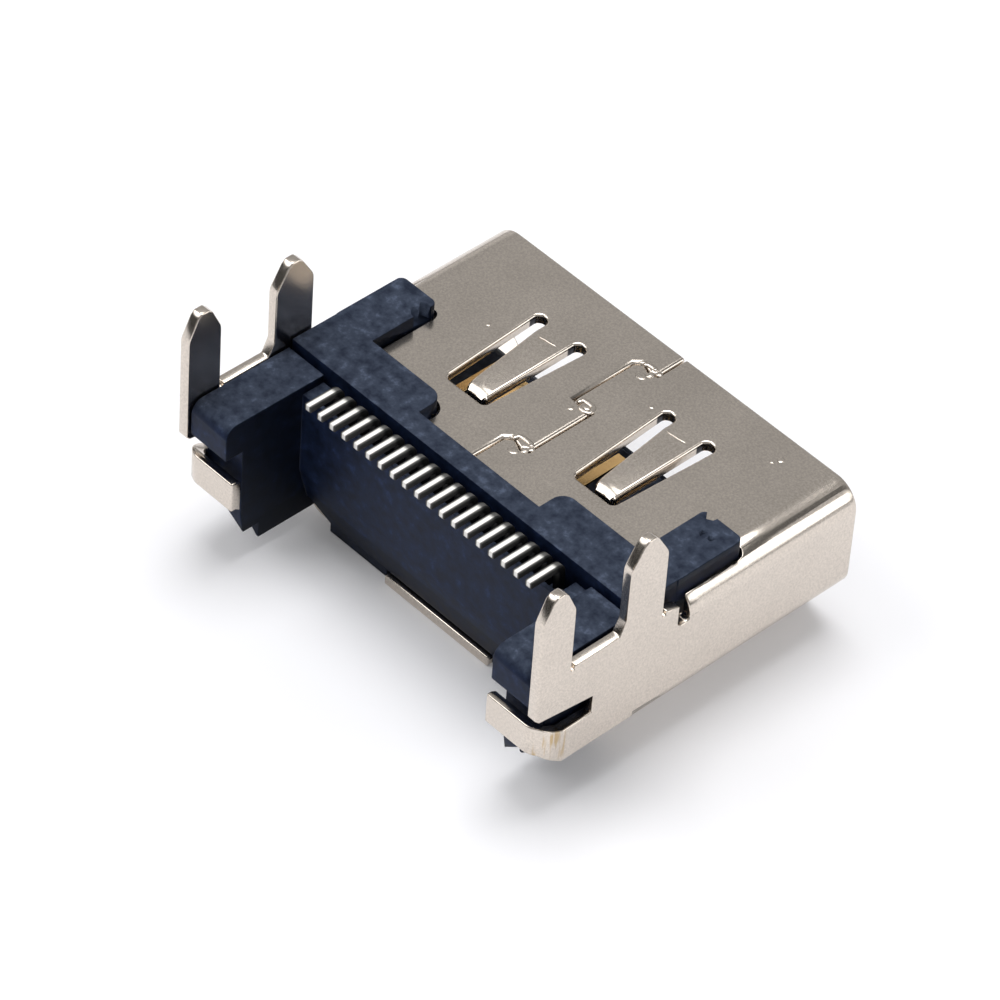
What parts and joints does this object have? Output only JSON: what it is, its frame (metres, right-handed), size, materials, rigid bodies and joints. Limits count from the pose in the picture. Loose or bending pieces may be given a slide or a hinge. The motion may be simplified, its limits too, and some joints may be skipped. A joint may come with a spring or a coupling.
{
  "type": "hdmi socket",
  "caption": "Board-mounted video socket with a keyed folded metal shell, sprung tongues, four board legs, an inner contact blade and a row of solder tails.",
  "frame": {"origin": "centre of the bounding box's underside, on the outer face of the narrow shell wall that the socket lies on", "axes": "+X across the socket; -Y out of the mouth, +Y towards the solder tails; +Z towards the circuit board, the way the legs point"},
  "size_m": [0.0148, 0.0122, 0.0085],
  "materials": {
    "shell": "satin nickel plate",
    "insulator": "moulded, faint grain",
    "contacts": "tin-plated copper alloy"
  },
  "bodies": {
    "root": {"shell": "shell", "insulator": "insulator", "rear_block": "insulator", "contact_01": "contacts", "contact_02": "contacts", "contact_03": "contacts", "contact_04": "contacts", "contact_05": "contacts", "contact_06": "contacts", "contact_07": "contacts", "contact_08": "contacts", "contact_09": "contacts", "contact_10": "contacts", "contact_11": "contacts", "contact_12": "contacts", "contact_13": "contacts", "contact_14": "contacts", "contact_15": "contacts", "contact_16": "contacts", "contact_17": "contacts", "contact_18": "contacts", "contact_19": "contacts"}
  },
  "joints": []
}
